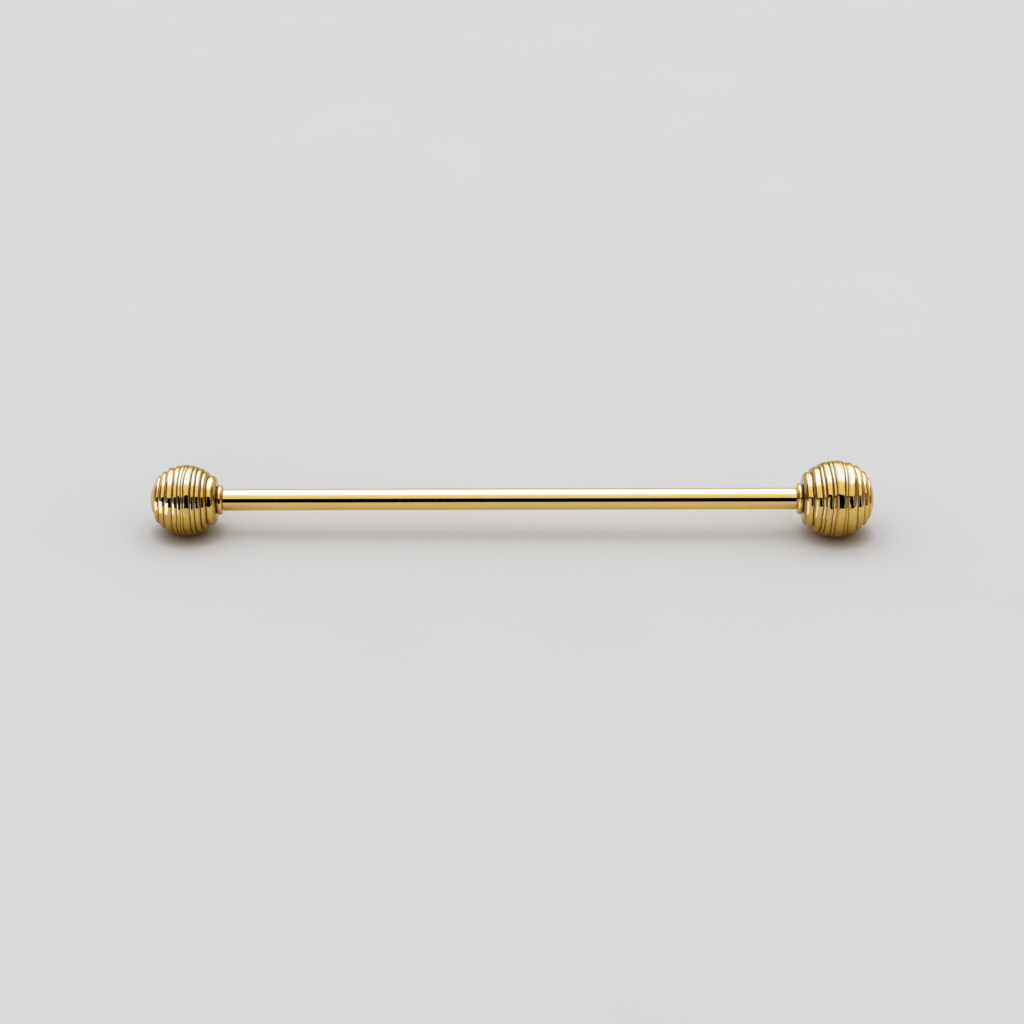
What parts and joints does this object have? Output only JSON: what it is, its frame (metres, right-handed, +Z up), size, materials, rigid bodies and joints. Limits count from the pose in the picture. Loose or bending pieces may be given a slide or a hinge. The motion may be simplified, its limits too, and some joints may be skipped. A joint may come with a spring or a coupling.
{
  "type": "collar bar",
  "caption": "Straight round collar bar with a ribbed ball and a neck ring at each end; one ball unscrews with its ring on a fine right-hand thread.",
  "frame": {"origin": "on the rod's axis, at the middle of the overall length", "axes": "+X along the bar from the fixed ball to the screw ball, +Z up, the bar lying level on its two balls"},
  "size_m": [0.06, 0.0064, 0.0064],
  "materials": {
    "gold_plate": "mirror-polished yellow gold plate over brass",
    "bush_brass": "plain machined brass, unplated"
  },
  "bodies": {
    "bar": {"rod": "gold_plate", "threaded_stud": "gold_plate", "fixed_finial": "gold_plate", "fixed_neck_ring": "gold_plate"},
    "screw_ring": {"screw_neck_ring": "gold_plate"},
    "screw_ball": {"screw_finial": "gold_plate", "threaded_bush": "bush_brass"}
  },
  "joints": [
    {"name": "finial_draw", "type": "slide", "parent": "bar", "child": "screw_ring", "axis": [1, 0, 0], "range_m": [0, 0.0024]},
    {"name": "finial_turn", "type": "hinge", "parent": "screw_ring", "child": "screw_ball", "pos_m": [0.027, 0, 0], "axis": [1, 0, 0], "range_deg": [0, 2880.1]}
  ],
  "couplings": [
    {"joint": "finial_turn", "follows": "finial_draw", "rad_per_m": 20944}
  ]
}
